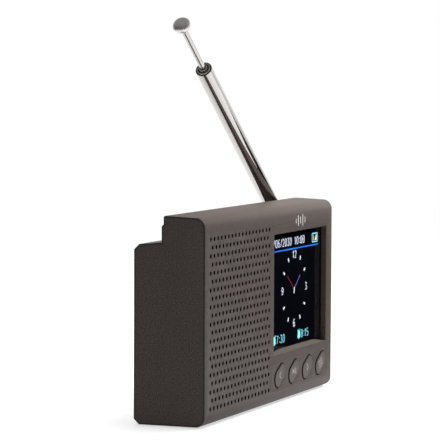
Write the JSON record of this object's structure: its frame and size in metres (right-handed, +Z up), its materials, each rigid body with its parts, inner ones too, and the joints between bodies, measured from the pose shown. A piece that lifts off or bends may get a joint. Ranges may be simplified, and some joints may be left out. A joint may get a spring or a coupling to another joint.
{
  "type": "tabletop radio",
  "caption": "Slim portable radio with a perforated speaker grille, recessed colour display, push buttons below it and a folding telescopic antenna in a bay behind the top edge.",
  "frame": {"origin": "centre of the underside, on the surface that the feet stand on", "axes": "+X to the right seen from the front, +Y from the front face to the rear, +Z up"},
  "size_m": [0.1244, 0.0252, 0.1335],
  "materials": {
    "case_plastic": "moulded, finely textured, warm dark grey",
    "key_plastic": "moulded, satin, with pale printed legends",
    "display_glass": "clear, polished",
    "display_panel": "dark colour display",
    "black_tape": "matt black",
    "steel": "bright, plated",
    "chrome": "polished",
    "circuit_board": "solder mask over copper",
    "chip_plastic": "moulded black",
    "socket_plastic": "moulded black",
    "connector_plastic": "natural nylon",
    "ribbon_film": "amber film over copper",
    "brass": "tinned brass",
    "copper_coil": "enamelled copper",
    "ferrite": "sintered, matt",
    "frame_steel": "black stamped steel",
    "cone_paper": "black paper",
    "screen_cloth": "black open mesh",
    "spider_cloth": "resin treated cloth",
    "black_rubber": "matt",
    "foam": "open cell",
    "battery_film": "laminated pouch",
    "wire_cover": "vinyl",
    "board_plastic": "paper laminate"
  },
  "bodies": {
    "housing": {"front_shell": "case_plastic", "rear_shell": "case_plastic", "case_screws": "steel", "rubber_feet": "black_rubber", "display_lens": "display_glass", "display_tape": "black_tape", "display_panel": "display_panel", "display_tray": "steel", "display_ribbon": "ribbon_film", "ribbon_socket": "connector_plastic", "main_board": "circuit_board", "radio_module": "steel", "board_chips": "chip_plastic", "board_screws": "steel", "key_switches": "socket_plastic", "charging_socket": "steel", "headphone_socket": "socket_plastic", "dust_screen": "screen_cloth", "speaker_gasket": "foam", "speaker_frame": "frame_steel", "speaker_top_plate": "steel", "speaker_magnet": "ferrite", "speaker_pole_plate": "steel", "speaker_spider": "spider_cloth", "speaker_surround": "black_rubber", "speaker_terminals": "board_plastic", "speaker_screws": "steel", "speaker_leads": "wire_cover", "battery_cell": "battery_film", "battery_foam": "foam", "battery_leads": "wire_cover", "antenna_tag": "brass", "antenna_lead": "wire_cover"},
    "back_key": {"back_button": "key_plastic", "back_plunger": "socket_plastic"},
    "select_key": {"select_button": "key_plastic", "select_plunger": "socket_plastic"},
    "forward_key": {"forward_button": "key_plastic", "forward_plunger": "socket_plastic"},
    "menu_key": {"menu_button": "key_plastic", "menu_plunger": "socket_plastic"},
    "cone": {"speaker_cone": "cone_paper", "speaker_dust_cap": "cone_paper", "voice_coil": "copper_coil"},
    "antenna_swivel_base": {"antenna_base": "chrome", "antenna_pin": "steel", "antenna_washer": "steel", "antenna_screw": "steel"},
    "outer_tube": {"antenna_knuckle": "chrome", "antenna_tube_1": "chrome"},
    "second_tube": {"antenna_tube_2": "chrome"},
    "third_tube": {"antenna_tube_3": "chrome"},
    "fourth_tube": {"antenna_tube_4": "chrome"},
    "tip_rod": {"antenna_rod": "chrome", "antenna_tip": "chrome"}
  },
  "joints": [
    {"name": "back_press", "type": "slide", "parent": "housing", "child": "back_key", "axis": [0, 1, 0], "range_m": [0, 0.0005], "stiffness_N_per_m": 1500},
    {"name": "select_press", "type": "slide", "parent": "housing", "child": "select_key", "axis": [0, 1, 0], "range_m": [0, 0.0005], "stiffness_N_per_m": 1500},
    {"name": "forward_press", "type": "slide", "parent": "housing", "child": "forward_key", "axis": [0, 1, 0], "range_m": [0, 0.0005], "stiffness_N_per_m": 1500},
    {"name": "menu_press", "type": "slide", "parent": "housing", "child": "menu_key", "axis": [0, 1, 0], "range_m": [0, 0.0005], "stiffness_N_per_m": 1500},
    {"name": "cone_travel", "type": "slide", "parent": "housing", "child": "cone", "axis": [0, 1, 0], "range_m": [-0.0006, 0.0006], "stiffness_N_per_m": 800},
    {"name": "antenna_swivel", "type": "hinge", "parent": "housing", "child": "antenna_swivel_base", "pos_m": [0.0565, 0.00745, 0.0637], "axis": [0, 0, 1], "range_deg": [-180, 0]},
    {"name": "antenna_tilt", "type": "hinge", "parent": "antenna_swivel_base", "child": "outer_tube", "pos_m": [0.0565, 0.00745, 0.0637], "axis": [0, 1, 0], "range_deg": [-36.3, 53.7]},
    {"name": "second_tube_slide", "type": "slide", "parent": "outer_tube", "child": "second_tube", "axis": [-0.8059, 0, 0.592], "range_m": [0, 0.074]},
    {"name": "third_tube_slide", "type": "slide", "parent": "second_tube", "child": "third_tube", "axis": [-0.8059, 0, 0.592], "range_m": [0, 0.073]},
    {"name": "fourth_tube_slide", "type": "slide", "parent": "third_tube", "child": "fourth_tube", "axis": [-0.8059, 0, 0.592], "range_m": [0, 0.072]},
    {"name": "tip_rod_slide", "type": "slide", "parent": "fourth_tube", "child": "tip_rod", "axis": [-0.8059, 0, 0.592], "range_m": [-0.0215, 0.05]}
  ]
}
